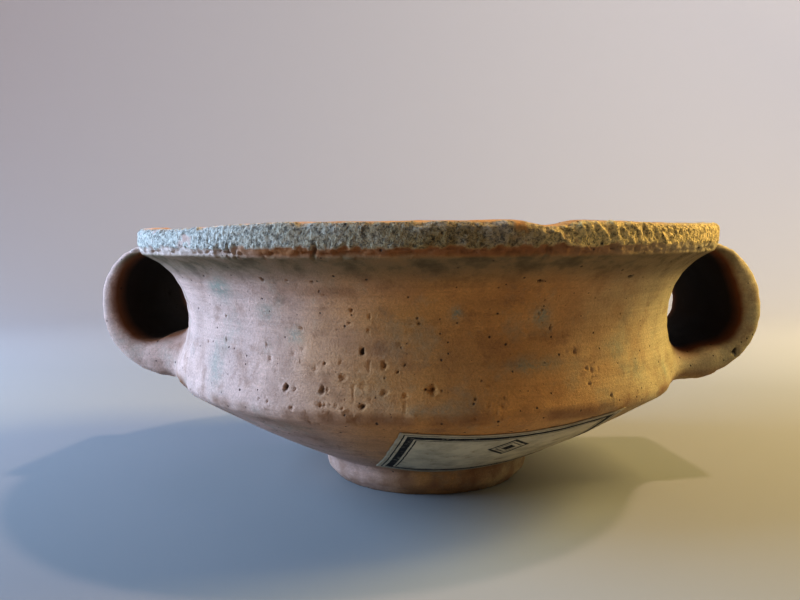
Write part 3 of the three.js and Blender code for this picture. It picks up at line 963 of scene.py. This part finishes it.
fibre_bump = node(tree, "Bump", {"Height": fibre, "Strength": 0.25, "Distance": 0.12 * MM})
surface = node(
    tree,
    "BsdfPrincipled",
    {"Base Color": paper_tone, "Roughness": 0.88, "Normal": fibre_bump, "Specular IOR Level": 0.3},
)
node(tree, "OutputMaterial", {"Surface": surface})

paper_mesh.materials.append(rag_paper)
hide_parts("paper_label")
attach(label, "root")


# The table and the room behind it, one plain pale sheet of matt card that curves up all round.
table_radius = 0.42
sweep_radius = 0.33
wall_height = 1.3
card_steps = 96

card_mesh = bmesh.new()
sweep = arc(
    at(table_radius, 0),
    at(table_radius + sweep_radius * 0.55, 0),
    at(table_radius + sweep_radius, sweep_radius * 0.45),
    at(table_radius + sweep_radius, sweep_radius),
    16,
)
profile = [at(0, 0), at(table_radius / 2, 0), *sweep, at(table_radius + sweep_radius, wall_height)]
profile = [card_mesh.verts.new(p) for p in profile]
profile += [card_mesh.edges.new(pair) for pair in zip(profile, profile[1:])]
bmesh.ops.spin(
    card_mesh,
    geom=profile,
    cent=(0, 0, 0),
    axis=(0, 0, 1),
    angle=math.tau,
    steps=card_steps,
    use_merge=True,
    use_duplicate=False,
)
bmesh.ops.remove_doubles(card_mesh, verts=card_mesh.verts, dist=1e-5)
bmesh.ops.recalc_face_normals(card_mesh, faces=card_mesh.faces)
backdrop = bpy.data.meshes.new("pale card")
card_mesh.to_mesh(backdrop)
card_mesh.free()
backdrop.shade_smooth()
room = bpy.data.objects.new("pale_card", backdrop)
bpy.context.scene.collection.objects.link(room)

pale_card = bpy.data.materials.new("matt_card_pale")
pale_card.use_nodes = True
tree = pale_card.node_tree
tree.nodes.clear()
card_grey = colour("#94928f")
card_finish = {"Base Color": card_grey, "Roughness": 0.9, "Specular IOR Level": 0.1}
surface = node(tree, "BsdfPrincipled", card_finish)
node(tree, "OutputMaterial", {"Surface": surface})
backdrop.materials.append(pale_card)


# Light, all from area lamps that the camera does not see: a large cool window on the left, a warm
# soft lamp behind on the right, a small high lamp that draws the shadow, and two on the backdrop.
def lamp(name, azimuth, elevation, distance, width, height, watts, aim=(0, 0, 0.03)):
    """An area lamp; azimuth is from the front of the cup, round to its right, and watts are R, G, B."""
    light = bpy.data.lights.new(name, "AREA")
    light.shape = "RECTANGLE"
    light.size = width
    light.size_y = height
    light.energy = max(watts)
    light.color = [part / max(watts) for part in watts]
    lit = bpy.data.objects.new(name, light)
    rise = math.radians(elevation)
    place = round_the_cup(azimuth, math.cos(rise) * distance, math.sin(rise) * distance)
    facing = (place - Vector(aim)).to_track_quat("Z", "Y").to_matrix().to_4x4()
    lit.matrix_world = Matrix.Translation(place) @ facing
    lit.visible_camera = False
    bpy.context.scene.collection.objects.link(lit)


lamp("window", -87, 22, 0.55, 0.40, 0.28, (3.4, 5.3, 8.3))
lamp("high_lamp", 97, 68, 0.9, 0.05, 0.05, (2.6, 1.95, 1.7))
lamp("warm_lamp", 103, 35, 0.55, 0.20, 0.25, (4.3, 3.5, 1.45))
lamp("backdrop_left", -120, 50, 0.6, 0.3, 0.3, (0.9, 0.85, 1.5), aim=(-0.3, 0.7, 0.15))
lamp("backdrop_right", 120, 60, 0.6, 0.3, 0.3, (6.2, 5.6, 5.2), aim=(0.35, 0.7, 0.45))
world = bpy.data.worlds.new("dark room")
bpy.context.scene.world = world
world.use_nodes = True
world.node_tree.nodes["Background"].inputs["Strength"].default_value = 0.0
bpy.context.scene.view_settings.view_transform = "Standard"
bpy.context.scene.view_settings.gamma = 0.85


# The camera, as it stood for the photograph: level with the lip and looking slightly down.
camera_place = Vector((0, -0.206, 0.0604))
camera_turn = math.radians(-1.82)
camera_tip = math.radians(4.62)
camera_roll = math.radians(-0.4)
lens = bpy.data.cameras.new("camera")
lens.sensor_width = 36
lens.lens = 36
lens.clip_start = 0.005
ahead = Vector((
    math.cos(camera_tip) * math.sin(camera_turn),
    math.cos(camera_tip) * math.cos(camera_turn),
    -math.sin(camera_tip),
))
level_right = Vector((math.cos(camera_turn), -math.sin(camera_turn), 0))
level_up = level_right.cross(ahead)
right = level_right * math.cos(camera_roll) + level_up * math.sin(camera_roll)
up = level_up * math.cos(camera_roll) - level_right * math.sin(camera_roll)
camera = bpy.data.objects.new("camera", lens)
camera.matrix_world = Matrix.Translation(camera_place) @ Matrix((right, up, -ahead)).transposed().to_4x4()
bpy.context.scene.collection.objects.link(camera)
bpy.context.scene.camera = camera
